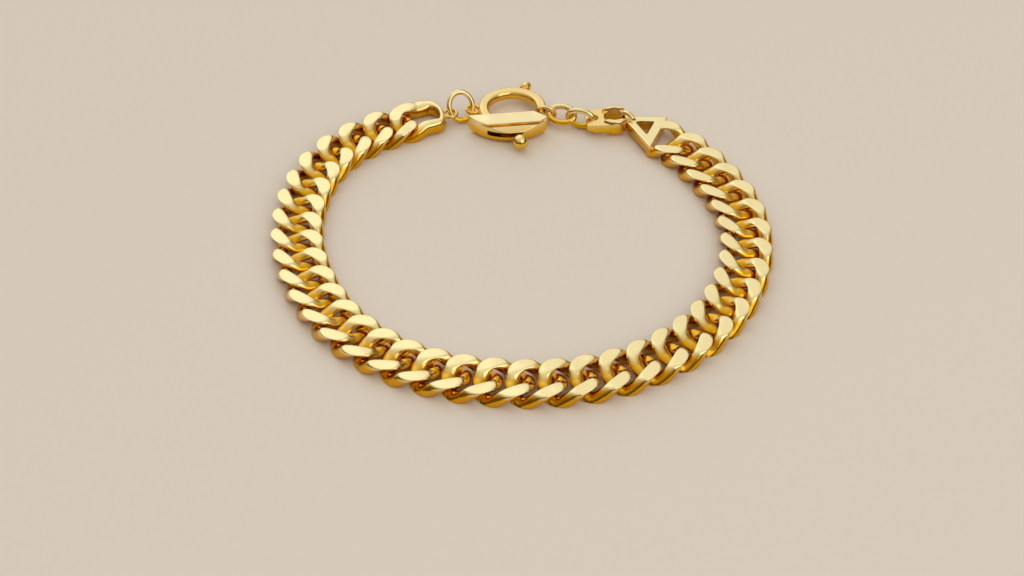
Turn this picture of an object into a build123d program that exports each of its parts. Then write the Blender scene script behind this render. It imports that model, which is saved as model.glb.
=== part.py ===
from build123d import *

import math
import os
from dataclasses import dataclass

# A flat curb chain bracelet in polished gold, closed by a ring clasp and lying on a table.
#
# The frame is in millimetres, +Z is up and the table is z = 0. The clasp is on the +Y side, and
# the origin is under the middle of the whole bracelet. Going round anticlockwise, seen from
# above, the pieces are: left end cap, curb links, right end cap, hook eye, second and first
# small link, gate ring, clasp with its bolt, jump ring.
#
# Each piece is made in a frame of its own and has two hooking points there, its start and its
# end. The piece before hooks in at the start and the piece after at the end. A hooking point is
# halfway across the gap between two wires, or the middle of an eye or of the clasp's bolt.

# Gap between two pieces of metal that hook into each other or slide past each other
GAP = 0.12

# Curb links: round wire, bent to an oval, twisted, and ground flat on both faces. The oval is a
# plain ellipse at a roundness of 1, and its arms are straighter below that
LINK_COUNT = 36
WIRE = 1.88
LINK_OPENING = 3.64
LINK_PLAY = 0.2
TWIST_PLAY = 0.2
LINK_ROUNDNESS = 0.9
CHAIN_HEIGHT = 2.2

# Left end cap: a long last link that narrows to a square end
LEFT_CAP_LENGTH = 6.3

# Eyes that carry the jump ring
EYE_RADIUS = 0.9
EYE_WIRE = 0.55
EYE_HEIGHT = 1.6
EYE_SOLDER = 0.2
EYE_STANDOFF = 0.9

# Jump ring, an oval that leans back from upright
JUMP_HALF_LENGTH = 1.75
JUMP_HALF_HEIGHT = 2.2
JUMP_WIRE = 0.78
JUMP_LEAN = 32.0

# Ring clasp. Angles are seen from above, with 0 towards the gap and -90 towards the viewer
RING_RADIUS = 4.25
TUBE_RADIUS = 0.88
TUBE_FLAT = 0.74
HOUSING_RADIUS = 7.4
HOUSING_LEFT = 0.45
HOUSING_BACK = 1.1
HOUSING_HEIGHT = 3.1
HOUSING_CHORD = 2.6
HOUSING_BAR = 2.6
HOUSING_STEP = 0.3
PANEL_SLOPE = 38.0
FOOT_BEVEL = 0.8
GAP_START = -42.5
GAP_END = -7.5
EYE_ANGLE = 172.5
PEG_ANGLE = 64.5
PEG_RADIUS = 0.8
PEG_STALK = 0.5
PEG_STANDOFF = 0.1

# Sliding bolt of the clasp, with its stem and thumb ball
BOLT_RADIUS = 0.38
BOLT_TIP = 4.5
BOLT_TRAVEL = 36.0
BOLT_TAIL = 9.0
LEVER_ANGLE = -88.5
STEM_RADIUS = 0.26
BALL_RADIUS = 1.1

# Gate ring on the bolt, standing, and the two small links
GATE_WIRE = 0.56
GATE_HALF_LENGTH = 1.4
GATE_HALF_HEIGHT = 1.12
GATE_ANGLE = -16.5
GATE_HEIGHT = 1.5
SMALL_WIRE = 0.8
SMALL_HALF_LENGTH = 1.92
SMALL_HALF_WIDTH = 1.33
FIRST_ROLL = -26.0
SECOND_ROLL = 90.0

# Hook eye: a shield-shaped plate with a large round eye, a drilled lug and two side skirts,
# which rise from the keel towards the lug's end
HOOK_PLATE = 0.8
HOOK_TOP = 2.2
HOOK_EYE_RADIUS = 1.5
HOOK_WALL = 0.7
HOOK_RIM_TOP = 2.7
HOOK_RIM_BEVEL = 0.3
HOOK_KEEL = 0.8
HOOK_LUG_HOLE = 0.68
HOOK_LUG_WALL = 0.5
HOOK_LUG_REACH = 4.2
HOOK_LUG_WIDTH = 4.0
HOOK_CHANNEL = 2.6
HOOK_FOOT = 0.1

# Right end cap: a three-sided frame with half a link soldered to its base, and a loop at its
# point. The base is askew, further out on the side inside the bracelet
BASE_DISTANCE = 3.7
BASE_WIDTH = 7.6
BASE_SKEW = 1.2
BASE_BAR = 1.5
SIDE_BAR = 1.15
CAP_REACH = 8.75
CAP_POINT_WIDTH = 1.8
CAP_THICKNESS = 1.7
CAP_BEVEL = 0.3
APEX_LOOP_RADIUS = 1.1
APEX_LOOP_WIRE = 0.7
APEX_SOLDER = 0.45

# Shape of the loop: angle round it in degrees, and radius as a share of the loop's radius
LOOP_SHAPE = (
    (0, 1.024),
    (15, 1.021),
    (30, 1.01),
    (41.6, 1.019),
    (59.8, 1.018),
    (68.2, 0.932),
    (73.3, 0.926),
    (78.8, 0.94),
    (83.3, 0.94),
    (103.3, 0.986),
    (111.2, 0.985),
    (124, 1.028),
    (136, 1.058),
    (148, 1.068),
    (165, 1.035),
    (180, 1.006),
    (200, 0.979),
    (225, 0.972),
    (242, 0.965),
    (265, 0.953),
    (300, 0.987),
    (330, 1.012),
)
LEFT_CAP_START = 109.7

# Corner angles of a wire's six-sided section, with flats on top and underneath
SECTION_ANGLES = (0, 50, 130, 180, 230, 310)
LINK_STEPS = 16
SMALL_STEPS = 12

# Left end cap, section by section from the square end along its outer arm, and then back along
# its inner arm. Along is a share of the cap's length, across a share of a link's half width,
# rise a share of the arms' rise, width and height shares of the wire's and chain's.
OUTER_ARM_ROWS = (
    # along, across, rise, width, height
    (0.075, 0.10, 0.0, 0.50, 1.00),
    (0.080, -0.50, 0.0, 0.55, 1.00),
    (0.210, -1.02, 0.0, 0.95, 1.00),
    (0.420, -1.14, 0.0, 1.33, 1.00),
    (0.640, -1.06, 0.05, 1.30, 0.95),
)
INNER_ARM_ROWS = (
    (0.740, 0.88, -0.25, 1.00, 0.85),
    (0.540, 0.68, 0.0, 1.05, 1.00),
    (0.320, 0.62, 0.0, 1.00, 1.00),
    (0.150, 0.56, 0.0, 0.75, 1.00),
)
CAP_END_ANGLES = (-62, -42, -21, 0, 21, 42, 62)

# Sizes that follow from those above
FULL_TURN = 360
WIRE_RADIUS = WIRE / 2
LINK_PITCH = 2 * WIRE + GAP + LINK_PLAY
LINK_HALF_LENGTH = (LINK_PITCH + WIRE + GAP) / 2
LINK_HALF_WIDTH = (LINK_OPENING + WIRE) / 2
ARM_RISE = (WIRE + GAP) / 2 + TWIST_PLAY
HALF_HEIGHT = CHAIN_HEIGHT / 2
TUBE_HEIGHT = HOUSING_HEIGHT / 2
CHANNEL_RADIUS = BOLT_RADIUS + GAP
PLATE_HEIGHT = HOOK_TOP - HOOK_PLATE / 2


@dataclass
class Piece:
    """A solid in a frame of its own, with its hooking points and its height on the table."""

    name: str
    shape: object
    start: Vector
    end: Vector
    height: float = 0.0


def polar(radius, angle, height=0.0):
    a = math.radians(angle)
    return Vector(radius * math.cos(a), radius * math.sin(a), height)


def triangles_between(first, second):
    """Flat faces between two sections with as many corners."""
    count = len(first)
    faces = []
    for k in range(count):
        a, b = first[k], first[(k + 1) % count]
        c, d = second[(k + 1) % count], second[k]
        faces.append(Face(Wire.make_polygon([a, b, c])))
        faces.append(Face(Wire.make_polygon([a, c, d])))
    return faces


def closed_tube(sections):
    """A ring-shaped solid through sections that follow each other round a closed path."""
    faces = []
    for first, second in zip(sections, sections[1:] + sections[:1]):
        faces += triangles_between(first, second)
    return Solid(Shell(faces))


def wire_section(centre, along, outward, half_width, half_height):
    """Six corners round a point of the path, in the plane square to the path."""
    along = along.normalized()
    side = (outward - along * outward.dot(along)).normalized()
    up = along.cross(side)
    corners = []
    for angle in SECTION_ANGLES:
        a = math.radians(angle)
        corners.append(centre + side * (half_width * math.cos(a)) + up * (half_height * math.sin(a)))
    return corners


def ground_flat(corners):
    """Corners that stand out of the chain's two faces are brought back to them."""
    return [Vector(p.X, p.Y, max(-HALF_HEIGHT, min(HALF_HEIGHT, p.Z))) for p in corners]


def straightened(share):
    """A share from -1 to 1 moved outwards, which makes an ellipse's arms straighter."""
    return math.copysign(abs(share) ** LINK_ROUNDNESS, share)


def link_point(angle):
    """The wire's centre at an angle round a link: an oval whose arms rise and fall."""
    t = math.radians(angle)
    x = LINK_HALF_LENGTH * straightened(math.cos(t))
    y = LINK_HALF_WIDTH * straightened(math.sin(t))
    return Vector(x, y, -ARM_RISE * math.sin(2 * t))


def link_section(angle):
    """The wire's section at an angle round a link."""
    along = link_point(angle + 1) - link_point(angle - 1)
    outward = Vector(along.Y, -along.X, 0)
    return ground_flat(wire_section(link_point(angle), along, outward, WIRE_RADIUS, WIRE_RADIUS))


def curb_link_shape():
    """One link about its own middle, its outer arm on the -Y side."""
    return closed_tube([link_section(FULL_TURN * k / LINK_STEPS) for k in range(LINK_STEPS)])


def oval_link_shape(half_length, half_width, wire, roll):
    """A plain oval link of round wire, rolled about its long axis, which is X."""
    sections = []
    for k in range(SMALL_STEPS):
        t = 2 * math.pi * (k + 0.5) / SMALL_STEPS
        centre = Vector(half_length * math.cos(t), half_width * math.sin(t), 0)
        along = Vector(-half_length * math.sin(t), half_width * math.cos(t), 0)
        outward = Vector(half_width * math.cos(t), half_length * math.sin(t), 0)
        sections.append(wire_section(centre, along, outward, wire / 2, wire / 2))
    return closed_tube(sections).rotate(Axis.X, roll)


def wall_reach(half_length, half_height, half_wall):
    """How far out in a standing oval opening a wall of some thickness can go."""
    return half_length * math.sqrt(1 - (half_wall / half_height) ** 2)


def arc_of(profile, start, end):
    """A profile in the XZ plane turned about Z from one angle to another."""
    solid = revolve(profile, Axis.Z, revolution_arc=end - start)
    return solid.rotate(Axis.Z, start)


def disc_at(distance, height, radius):
    """A round section in the XZ plane."""
    return Plane.XZ * Pos(distance, height) * Circle(radius)


def flattened_disc_at(distance, height, radius, half_height):
    """A round section in the XZ plane with flats on top and underneath."""
    section = Circle(radius) & Rectangle(2 * radius, 2 * half_height)
    return Plane.XZ * Pos(distance, height) * section


def housing_reach(angle):
    """How far the housing's outer wall is from the ring's axis at an angle."""
    way = polar(1, angle)
    middle = Vector(-HOUSING_LEFT, HOUSING_BACK)
    along = way.dot(middle)
    return along + math.sqrt(HOUSING_RADIUS**2 + along**2 - middle.length**2)


def flat_profile(*corners):
    """A section in the XZ plane through corners given as distance and height."""
    return Plane.XZ * make_face(Polyline(*corners, close=True))


def flat_ring(centre, radius, wire):
    """A ring of round wire with an upright axis."""
    return Pos(centre) * Torus(radius, wire / 2)


def curb_links():
    """All the links of the chain, which share one shape."""
    shape = curb_link_shape()
    half = Vector(LINK_PITCH / 2, 0)
    numbers = range(1, LINK_COUNT + 1)
    return [Piece(f"link_{number:02d}", shape, -half, half, HALF_HEIGHT) for number in numbers]


def table_sections(rows):
    """Centres and half sizes of the left cap's sections."""
    found = []
    for along, across, rise, width, height in rows:
        centre = Vector(along * LEFT_CAP_LENGTH, across * LINK_HALF_WIDTH, rise * ARM_RISE)
        found.append((centre, width * WIRE_RADIUS, height * HALF_HEIGHT))
    return found


def left_end_cap():
    """The cap with its square end at x = 0 and its eye behind it."""
    end_shift = Vector(LEFT_CAP_LENGTH + (WIRE + GAP) / 2 - LINK_HALF_LENGTH, 0, 0)
    path = table_sections(OUTER_ARM_ROWS)
    path += [(link_point(a) + end_shift, WIRE_RADIUS, WIRE_RADIUS) for a in CAP_END_ANGLES]
    path += table_sections(INNER_ARM_ROWS)
    sections = []
    for k, (centre, half_width, half_height) in enumerate(path):
        along = path[(k + 1) % len(path)][0] - path[k - 1][0]
        outward = Vector(along.Y, -along.X, 0)
        sections.append(ground_flat(wire_section(centre, along, outward, half_width, half_height)))
    eye_centre = Vector(-EYE_STANDOFF, 0, EYE_HEIGHT - HALF_HEIGHT)
    eye = flat_ring(eye_centre, EYE_RADIUS, EYE_WIRE)
    start = Vector(eye_centre.X, 0)
    end = Vector(LEFT_CAP_LENGTH, 0)
    return Piece("end_cap_left", closed_tube(sections) + eye, start, end, HALF_HEIGHT)


def base_corners(shift):
    """The outer and the inner corner of the right cap's base line, moved along X."""
    outer_side = (BASE_DISTANCE + BASE_SKEW + shift, -BASE_WIDTH / 2)
    inner_side = (BASE_DISTANCE - BASE_SKEW + shift, BASE_WIDTH / 2)
    return outer_side, inner_side


def strip_along_base(start, end):
    """A strip beside the right cap's base line, between two distances from it along X."""
    outer_start, inner_start = base_corners(start)
    outer_end, inner_end = base_corners(end)
    return make_face(Polyline(outer_start, inner_start, inner_end, outer_end, close=True))


def right_end_cap():
    """The cap with the soldered half link at x = 0 and its point towards +X."""
    outline = Polyline(
        *base_corners(0),
        (CAP_REACH, CAP_POINT_WIDTH / 2),
        (CAP_REACH, -CAP_POINT_WIDTH / 2),
        close=True,
    )
    frame = make_face(outline)
    opening = make_face(offset(outline, -SIDE_BAR))
    base_bar = strip_along_base(0, BASE_BAR)
    frame = frame - (opening - base_bar)
    frame = Pos(0, 0, HALF_HEIGHT) * extrude(frame, -CAP_THICKNESS)
    frame = chamfer(frame.edges().group_by(Axis.Z)[-1], CAP_BEVEL)
    half_link = curb_link_shape().moved(Location((LINK_HALF_LENGTH - (WIRE + GAP) / 2, 0, 0)))
    keep = extrude(strip_along_base(-3 * LINK_PITCH, BASE_BAR / 2), CHAIN_HEIGHT, both=True)
    loop_centre = Vector(CAP_REACH + APEX_LOOP_RADIUS - APEX_SOLDER, 0, PLATE_HEIGHT - HALF_HEIGHT)
    loop = Pos(loop_centre) * Rot(90, 0, 0) * Torus(APEX_LOOP_RADIUS, APEX_LOOP_WIRE / 2)
    inner = APEX_LOOP_RADIUS - APEX_LOOP_WIRE / 2
    reach = wall_reach(inner, inner, HOOK_PLATE / 2)
    end = Vector(loop_centre.X + reach - GAP / 2, 0)
    shape = frame + (half_link & keep) + loop
    return Piece("end_cap_right", shape, Vector(0, 0), end, HALF_HEIGHT)


def hook_eye():
    """The plate with its round eye about the origin and its lug towards +X."""
    outer = HOOK_EYE_RADIUS + HOOK_WALL
    half_lug = HOOK_LUG_WIDTH / 2
    outline = make_hull(
        [
            *Circle(outer).edges(),
            *Polyline((HOOK_LUG_REACH, -half_lug), (HOOK_LUG_REACH, half_lug)).edges(),
        ]
    )
    plate = Pos(0, 0, HOOK_TOP - HOOK_PLATE) * extrude(outline, HOOK_PLATE)
    walls = Pos(0, 0, HOOK_FOOT) * extrude(outline, HOOK_TOP - HOOK_FOOT)
    slope = flat_profile(
        (HOOK_KEEL, HOOK_FOOT),
        (HOOK_LUG_REACH, HOOK_TOP - HOOK_PLATE),
        (HOOK_LUG_REACH, HOOK_FOOT),
    )
    walls -= extrude(slope, 2 * outer, both=True)
    rim = Pos(0, 0, HOOK_FOOT) * extrude(Circle(outer), HOOK_RIM_TOP - HOOK_FOOT)
    walls += chamfer(rim.edges().group_by(Axis.Z)[-1], HOOK_RIM_BEVEL)
    walls -= Box(4 * outer, HOOK_CHANNEL, 4 * HOOK_TOP)
    shape = plate + walls
    shape -= Cylinder(HOOK_EYE_RADIUS, 4 * HOOK_TOP)
    hole_centre = HOOK_LUG_REACH - HOOK_LUG_WALL - HOOK_LUG_HOLE
    shape -= Pos(hole_centre, 0) * Cylinder(HOOK_LUG_HOLE, 4 * HOOK_TOP)
    start = Vector(-HOOK_EYE_RADIUS + GAP / 2, 0)
    end = Vector(hole_centre + HOOK_LUG_HOLE - GAP / 2, 0)
    return Piece("hook_eye", shape, start, end)


def small_link(name, roll, hooks_plate):
    """A small link; where it hooks the plate, the plate's thickness keeps it further out."""
    shape = oval_link_shape(SMALL_HALF_LENGTH, SMALL_HALF_WIDTH, SMALL_WIRE, roll)
    inner_length = SMALL_HALF_LENGTH - SMALL_WIRE / 2
    inner_width = SMALL_HALF_WIDTH - SMALL_WIRE / 2
    end = Vector(inner_length - GAP / 2, 0)
    start = -end
    if hooks_plate:
        start = Vector(GAP / 2 - wall_reach(inner_length, inner_width, HOOK_PLATE / 2), 0)
    return Piece(name, shape, start, end, PLATE_HEIGHT)


def gate_ring():
    """The standing ring on the clasp's bolt."""
    shape = oval_link_shape(GATE_HALF_LENGTH, GATE_HALF_HEIGHT, GATE_WIRE, 90)
    start = Vector(GATE_HALF_LENGTH - (GATE_WIRE + GAP) / 2, 0) * -1
    end = Vector(GATE_HALF_LENGTH - GATE_WIRE / 2 - GAP - BOLT_RADIUS, 0)
    return Piece("gate_ring", shape, start, end, GATE_HEIGHT)


def clasp_body():
    """The clasp about its ring's axis: arch, housing, eye and peg, with the bolt's channel."""
    profile = flat_profile(
        (0, 0),
        (HOUSING_RADIUS - FOOT_BEVEL, 0),
        (HOUSING_RADIUS, FOOT_BEVEL),
        (HOUSING_RADIUS, HOUSING_HEIGHT),
        (0, HOUSING_HEIGHT),
    )
    front = Pos(0, -HOUSING_CHORD, 0) * Box(
        4 * HOUSING_RADIUS,
        2 * HOUSING_RADIUS,
        4 * HOUSING_HEIGHT,
        align=(Align.CENTER, Align.MAX, Align.CENTER),
    )
    left_of_gap = Rot(0, 0, GAP_START) * Box(
        4 * HOUSING_RADIUS,
        2 * HOUSING_RADIUS,
        4 * HOUSING_HEIGHT,
        align=(Align.CENTER, Align.MAX, Align.CENTER),
    )
    housing = Pos(-HOUSING_LEFT, HOUSING_BACK) * revolve(profile, Axis.Z) & front & left_of_gap
    bar_front = -HOUSING_CHORD - HOUSING_BAR
    panel_top = HOUSING_HEIGHT - HOUSING_STEP
    panel_drop = HOUSING_RADIUS * math.tan(math.radians(PANEL_SLOPE))
    above_panel = Plane.YZ * make_face(
        Polyline(
            (bar_front, panel_top),
            (bar_front, 2 * HOUSING_HEIGHT),
            (bar_front - HOUSING_RADIUS, 2 * HOUSING_HEIGHT),
            (bar_front - HOUSING_RADIUS, panel_top - panel_drop),
            close=True,
        )
    )
    housing -= extrude(above_panel, 2 * HOUSING_RADIUS, both=True)
    section = flattened_disc_at(RING_RADIUS, TUBE_HEIGHT, TUBE_RADIUS, TUBE_FLAT)
    arch = arc_of(section, GAP_END, FULL_TURN + GAP_START)
    eye_distance = RING_RADIUS + TUBE_RADIUS + EYE_RADIUS - EYE_SOLDER
    eye = flat_ring(polar(eye_distance, EYE_ANGLE, EYE_HEIGHT), EYE_RADIUS, EYE_WIRE)
    peg_distance = RING_RADIUS + TUBE_RADIUS + PEG_STANDOFF + PEG_RADIUS
    peg_centre = polar(peg_distance, PEG_ANGLE, TUBE_HEIGHT)
    peg = Pos(peg_centre) * Sphere(PEG_RADIUS)
    stalk = Rot(0, 0, PEG_ANGLE) * Pos(RING_RADIUS, 0, TUBE_HEIGHT) * Rot(0, 90, 0)
    stalk *= Cylinder(
        PEG_STALK, peg_distance - RING_RADIUS, align=(Align.CENTER, Align.CENTER, Align.MIN)
    )
    shape = housing + arch + eye + peg + stalk

    slack = math.degrees((STEM_RADIUS + GAP) / RING_RADIUS)
    open_angle = LEVER_ANGLE - BOLT_TRAVEL
    channel_end = open_angle - BOLT_TAIL - slack
    channel = arc_of(disc_at(RING_RADIUS, TUBE_HEIGHT, CHANNEL_RADIUS), channel_end, BOLT_TIP + slack)
    half_slot = STEM_RADIUS + GAP
    slot_profile = flat_profile(
        (RING_RADIUS, TUBE_HEIGHT - half_slot),
        (2 * HOUSING_RADIUS, TUBE_HEIGHT - half_slot),
        (2 * HOUSING_RADIUS, TUBE_HEIGHT + half_slot),
        (RING_RADIUS, TUBE_HEIGHT + half_slot),
    )
    slot = arc_of(slot_profile, open_angle - slack, LEVER_ANGLE + slack)
    shape = shape - channel - slot
    start = polar(RING_RADIUS, GATE_ANGLE)
    end = polar(eye_distance, EYE_ANGLE)
    return Piece("clasp_body", shape, start, end)


def clasp_bolt(body):
    """The bolt in the clasp's own frame: an arc of wire, a stem and a thumb ball."""
    tail = LEVER_ANGLE - BOLT_TAIL
    shape = arc_of(disc_at(RING_RADIUS, TUBE_HEIGHT, BOLT_RADIUS), tail, BOLT_TIP)
    farthest = max(housing_reach(LEVER_ANGLE), housing_reach(LEVER_ANGLE - BOLT_TRAVEL))
    ball_distance = farthest + GAP + BALL_RADIUS
    stem = Rot(0, 0, LEVER_ANGLE) * Pos(RING_RADIUS, 0, TUBE_HEIGHT) * Rot(0, 90, 0)
    stem *= Cylinder(
        STEM_RADIUS, ball_distance - RING_RADIUS, align=(Align.CENTER, Align.CENTER, Align.MIN)
    )
    ball = Pos(polar(ball_distance, LEVER_ANGLE, TUBE_HEIGHT)) * Sphere(BALL_RADIUS)
    return Piece("clasp_bolt", shape + stem + ball, body.start, body.end)


def jump_ring():
    """The ring leaning back about the line through both eyes, its foot on the table."""
    lean = math.radians(JUMP_LEAN)
    centre_height = JUMP_HALF_HEIGHT * math.cos(lean) + JUMP_WIRE / 2
    rise = (centre_height - EYE_HEIGHT) / math.cos(lean)
    ring = Pos(0, 0, rise) * oval_link_shape(JUMP_HALF_LENGTH, JUMP_HALF_HEIGHT, JUMP_WIRE, 90)
    inset = (JUMP_WIRE + EYE_WIRE) / 2 + GAP
    reach = wall_reach(JUMP_HALF_LENGTH - inset, JUMP_HALF_HEIGHT - inset, rise)
    end = Vector(reach + EYE_RADIUS, 0)
    return Piece("jump_ring", ring.rotate(Axis.X, JUMP_LEAN), -end, end, EYE_HEIGHT)


def radius_share(angle):
    """Radius share at an angle round the loop: a smooth closed curve through LOOP_SHAPE."""
    angle %= FULL_TURN
    count = len(LOOP_SHAPE)
    here = max(k for k in range(count) if LOOP_SHAPE[k][0] <= angle)
    knots = []
    for k in range(here - 1, here + 3):
        turn, row = divmod(k, count)
        knots.append((LOOP_SHAPE[row][0] + FULL_TURN * turn, LOOP_SHAPE[row][1]))
    (a0, r0), (a1, r1), (a2, r2), (a3, r3) = knots
    slope_in = (r2 - r0) / (a2 - a0) * (a2 - a1)
    slope_out = (r3 - r1) / (a3 - a1) * (a2 - a1)
    u = (angle - a1) / (a2 - a1)
    return (
        r1 * (2 * u**3 - 3 * u**2 + 1)
        + slope_in * (u**3 - 2 * u**2 + u)
        + r2 * (3 * u**2 - 2 * u**3)
        + slope_out * (u**3 - u**2)
    )


def loop_point(angle, radius):
    return polar(radius * radius_share(angle), angle)


def halved(low, high, too_low):
    """The value where too_low changes from true to false."""
    for _ in range(40):
        middle = (low + high) / 2
        if too_low(middle):
            low = middle
        else:
            high = middle
    return low


def walk(spans, radius):
    """Angles of the hooking points round a loop of some radius, one more than the spans."""
    angles = [LEFT_CAP_START]
    for span in spans:
        here = loop_point(angles[-1], radius)
        near = angles[-1]
        angles.append(
            halved(near, near + 90, lambda angle: (loop_point(angle, radius) - here).length < span)
        )
    return angles


def fitted_points(spans):
    """Hooking points on the loop whose radius lets the pieces just close it."""
    rough = sum(spans) / (2 * math.pi)
    radius = halved(0.7 * rough, 1.5 * rough, lambda r: walk(spans, r)[-1] > LEFT_CAP_START + FULL_TURN)
    return radius, [loop_point(angle, radius) for angle in walk(spans, radius)]


def hung(piece, start, end):
    """The piece moved so that its hooking points lie on the line from start to end."""
    own = piece.end - piece.start
    line = end - start
    turn = math.degrees(math.atan2(line.Y, line.X) - math.atan2(own.Y, own.X))
    middle = (start + end) * 0.5
    offset_from = (piece.start + piece.end) * 0.5
    place = Location((middle.X, middle.Y, piece.height), (0, 0, turn))
    back = Location((-offset_from.X, -offset_from.Y, 0))
    return piece.shape.moved(place * back)


def bracelet():
    """Every piece in its place round the loop, by name, with the clasp's axis."""
    body = clasp_body()
    route = [
        left_end_cap(),
        *curb_links(),
        right_end_cap(),
        hook_eye(),
        small_link("small_link_2", SECOND_ROLL, True),
        small_link("small_link_1", FIRST_ROLL, False),
        gate_ring(),
        body,
        jump_ring(),
    ]
    spans = [(piece.end - piece.start).length for piece in route]
    radius, points = fitted_points(spans)
    placed = {}
    for piece, start, end in zip(route, points, points[1:]):
        placed[piece.name] = hung(piece, start, end)
        if piece is body:
            placed["clasp_bolt"] = hung(clasp_bolt(body), start, end)
            mark = Piece("axis", Solid.make_cylinder(GAP, GAP), body.start, body.end)
            axis = hung(mark, start, end).center()
    return placed, axis, radius, sum(spans)


def low_and_high_corner(shapes):
    boxes = [shape.bounding_box() for shape in shapes]
    low = [min(tuple(box.min)[k] for box in boxes) for k in range(3)]
    high = [max(tuple(box.max)[k] for box in boxes) for k in range(3)]
    return Vector(*low), Vector(*high)


pieces, clasp_axis, loop_radius, loop_length = bracelet()
low, high = low_and_high_corner(pieces.values())
middle = (low + high) * 0.5
home = Vector(-middle.X, -middle.Y, -low.Z)

os.makedirs("parts", exist_ok=True)
for name, shape in pieces.items():
    export_step(shape.moved(Location(home)), f"parts/{name}.step")

size = high - low
axis = clasp_axis + home
print(f"loop radius {loop_radius:.2f}, length round the hooking points {loop_length:.1f}")
print(f"clasp axis at x {axis.X:.3f}, y {axis.Y:.3f}")
print(f"size {size.X:.2f} x {size.Y:.2f} x {size.Z:.2f}, pieces {len(pieces)}")
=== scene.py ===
# %% [markdown]
# # A curb chain bracelet in polished gold
#
# A curb chain is a row of identical oval links. Each one is twisted so that it lies almost flat
# beside the next, and then both faces of the chain are ground, which leaves two bright leaf-shaped
# flats on each face of every link. The ends of this chain are closed by two caps, a hook eye, two
# small links, a ring clasp with a sliding bolt, and a jump ring.
#
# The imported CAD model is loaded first. It is the frame: every piece below stands where its node
# stands, in metres, and only its surface and its roundness are made here.

import math

import bmesh
import bpy
import numpy as np
from mathutils import Matrix, Vector


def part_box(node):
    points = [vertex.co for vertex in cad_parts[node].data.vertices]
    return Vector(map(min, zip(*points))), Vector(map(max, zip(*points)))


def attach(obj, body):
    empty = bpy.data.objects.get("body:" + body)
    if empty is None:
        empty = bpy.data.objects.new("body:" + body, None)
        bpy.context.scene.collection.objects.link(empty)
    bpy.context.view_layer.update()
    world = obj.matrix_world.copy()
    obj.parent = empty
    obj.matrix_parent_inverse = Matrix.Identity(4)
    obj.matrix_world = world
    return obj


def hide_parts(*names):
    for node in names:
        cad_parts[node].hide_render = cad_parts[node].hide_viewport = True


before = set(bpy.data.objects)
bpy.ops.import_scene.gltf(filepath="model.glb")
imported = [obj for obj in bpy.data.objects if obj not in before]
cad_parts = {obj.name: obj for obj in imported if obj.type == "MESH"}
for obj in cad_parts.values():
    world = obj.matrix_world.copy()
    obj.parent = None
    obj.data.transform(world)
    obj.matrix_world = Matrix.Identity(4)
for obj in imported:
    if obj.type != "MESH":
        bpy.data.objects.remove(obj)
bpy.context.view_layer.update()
MM = 0.001

# %% [markdown]
# The bracelet was photographed from above and in front with a long lens. The camera stands where
# the outline of the whole loop fits best: 41 degrees above the table, straight behind the nearest
# link. It could be aimed with a constraint, but a fixed place and tilt are easier to check.

# %% Camera
CAMERA_PLACE = (-1.20, -210.86, 174.0)
CAMERA_HEIGHT_ANGLE = 41
LENS = 70
SENSOR = 36
NEAREST_SEEN = 0.01

camera_data = bpy.data.cameras.new("camera")
camera_data.lens = LENS
camera_data.sensor_width = SENSOR
camera_data.clip_start = NEAREST_SEEN
camera = bpy.data.objects.new("camera", camera_data)
camera.location = Vector(CAMERA_PLACE) * MM
camera.rotation_euler = (math.radians(90 - CAMERA_HEIGHT_ANGLE), 0, 0)
bpy.context.scene.collection.objects.link(camera)
bpy.context.scene.camera = camera
print("camera", [round(v, 3) for v in camera.location])

# %% [markdown]
# A material is a network of nodes. Written out link by link it is hard to read, so a small class
# wraps a socket, and sums on it add Math nodes. The same class serves Geometry Nodes, because
# those use the same Math node.

# %% Sums on sockets


class Socket:
    """An output socket that takes part in Python sums."""

    def __init__(self, graph, output):
        self.graph = graph
        self.output = output

    def math(self, operation, *others):
        """A Math node with this value first and the others after it."""
        values = dict(enumerate((self, *others)))
        return self.graph.node("ShaderNodeMath", {"operation": operation}, values)

    def math_second(self, operation, first):
        """A Math node with this value second, for sums such as 1.0 - mask."""
        return self.graph.node("ShaderNodeMath", {"operation": operation}, {0: first, 1: self})

    def __add__(self, other):
        return self.math("ADD", other)

    __radd__ = __add__

    def __sub__(self, other):
        return self.math("SUBTRACT", other)

    def __rsub__(self, other):
        return self.math_second("SUBTRACT", other)

    def __mul__(self, other):
        return self.math("MULTIPLY", other)

    __rmul__ = __mul__

    def __truediv__(self, other):
        return self.math("DIVIDE", other)

    def __rtruediv__(self, other):
        return self.math_second("DIVIDE", other)


class Graph:
    """A node tree with one method that adds any node."""

    def __init__(self, tree):
        self.tree = tree

    def feed(self, slot, value):
        """Links a socket to another one, or gives it a plain value."""
        if isinstance(value, Socket):
            self.tree.links.new(value.output, slot)
        else:
            slot.default_value = value

    def slot_of(self, sockets, key):
        """One of a node's sockets, by its number or by its name."""
        if isinstance(key, int):
            return sockets[key]
        return next(s for s in sockets if s.enabled and key in (s.name, s.identifier))

    def node(self, kind, settings=None, sockets=None, output=0):
        """Adds a node: its settings first, then its sockets. Gives back one of its outputs."""
        node = self.tree.nodes.new(kind)
        for name, value in (settings or {}).items():
            if name == "stops":
                ramp = node.color_ramp.elements
                while len(ramp) < len(value):
                    ramp.new(1.0)
                for element, (position, colour) in zip(ramp, value):
                    element.position = position
                    element.color = colour
            else:
                setattr(node, name, value)
        for key, value in (sockets or {}).items():
            self.feed(self.slot_of(node.inputs, key), value)
        if output is None:
            return node
        return Socket(self, self.slot_of(node.outputs, output))


def new_material(name):
    """An empty material with its graph."""
    material = bpy.data.materials.new(name)
    material.use_nodes = True
    material.node_tree.nodes.clear()
    return material, Graph(material.node_tree)


print("socket sums ready")

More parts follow.
